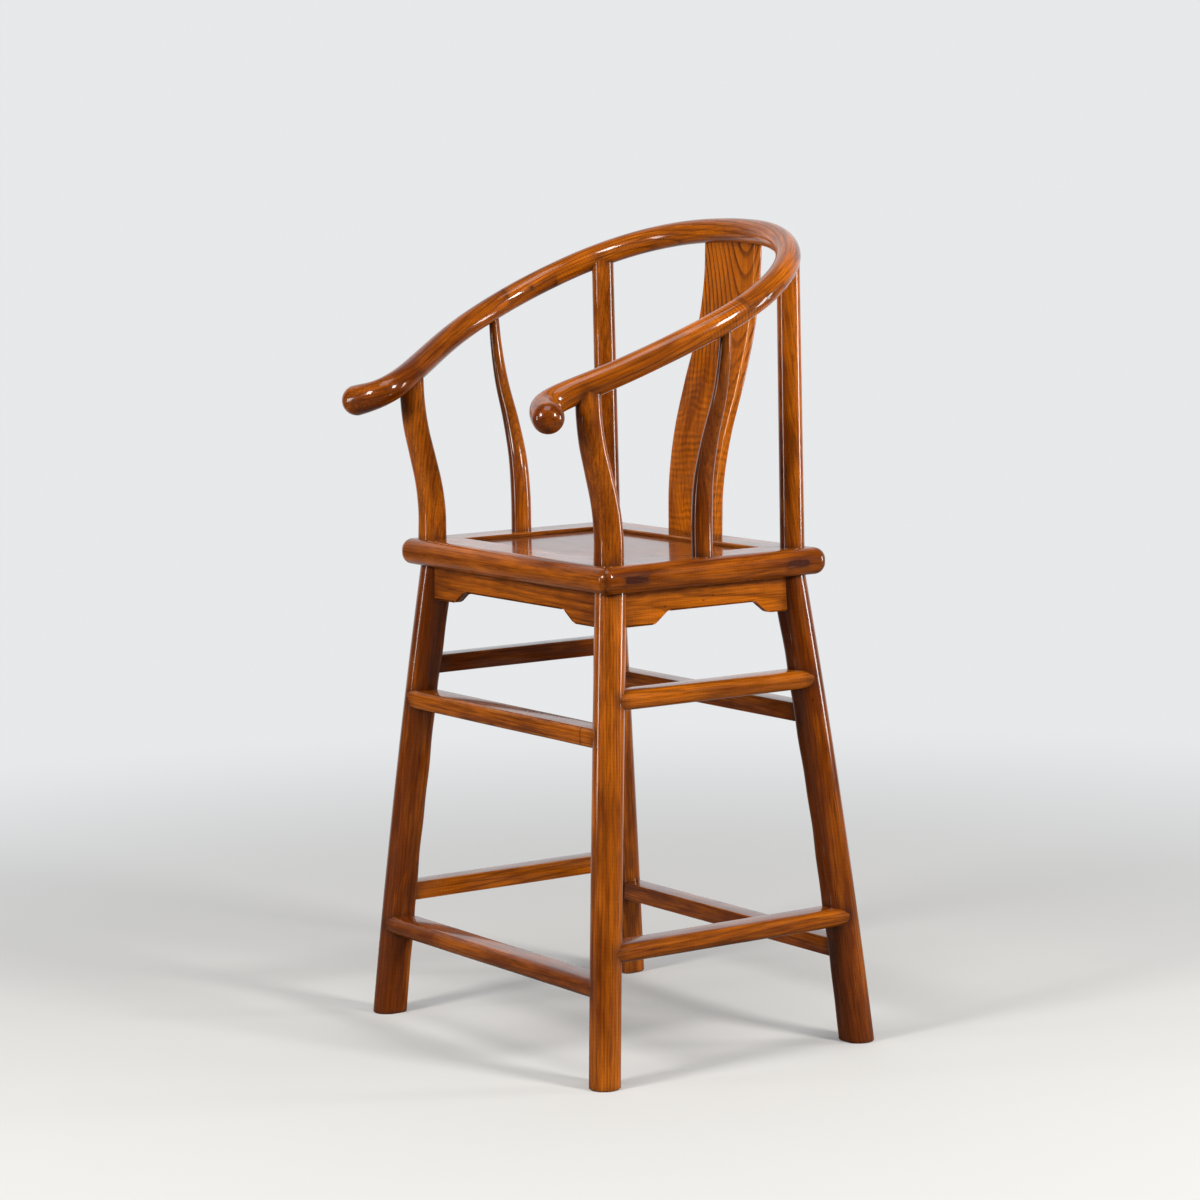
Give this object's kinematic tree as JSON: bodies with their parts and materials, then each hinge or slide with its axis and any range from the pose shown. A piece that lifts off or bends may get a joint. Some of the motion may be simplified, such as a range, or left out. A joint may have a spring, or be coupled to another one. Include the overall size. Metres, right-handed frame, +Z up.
{
  "type": "horseshoe back armchair",
  "caption": "Tall east Asian armchair with a sweeping horseshoe arm rail, curved back splat, mitred panel seat, bracketed aprons and splayed legs joined by stretchers.",
  "frame": {"origin": "on the floor, under the middle of the whole chair's bounding box", "axes": "+Z up, -Y to the front, where the sitter faces, +X to the sitter's left"},
  "size_m": [0.5608, 0.4715, 1.039],
  "materials": {
    "leg_wood": "clear glossy lacquer over warm brown stain, grain along Z",
    "cross_wood": "clear glossy lacquer over warm brown stain, grain along X",
    "side_wood": "clear glossy lacquer over warm brown stain, grain along Y",
    "panel_wood": "clear glossy lacquer over warm brown stain",
    "splat_wood": "clear glossy lacquer over figured wood with a curly lower half",
    "rail_wood": "clear glossy lacquer over warm brown stain, grain along the rail",
    "pin_wood": "dark hardwood under clear lacquer"
  },
  "bodies": {
    "root": {"seat_front_rail": "cross_wood", "seat_rear_rail": "cross_wood", "seat_left_rail": "side_wood", "seat_right_rail": "side_wood", "seat_panel": "panel_wood", "seat_batten": "side_wood", "front_left_leg": "leg_wood", "front_right_leg": "leg_wood", "rear_left_leg": "leg_wood", "rear_right_leg": "leg_wood", "left_side_post": "leg_wood", "right_side_post": "leg_wood", "back_splat": "splat_wood", "crest_rail": "rail_wood", "left_arm_rail": "rail_wood", "right_arm_rail": "rail_wood", "left_scarf_pin": "pin_wood", "right_scarf_pin": "pin_wood", "front_apron": "cross_wood", "rear_apron": "cross_wood", "left_apron": "side_wood", "right_apron": "side_wood", "upper_front_stretcher": "cross_wood", "upper_rear_stretcher": "cross_wood", "upper_left_stretcher": "side_wood", "upper_right_stretcher": "side_wood", "lower_front_stretcher": "cross_wood", "lower_rear_stretcher": "cross_wood", "lower_left_stretcher": "side_wood", "lower_right_stretcher": "side_wood"}
  },
  "joints": []
}
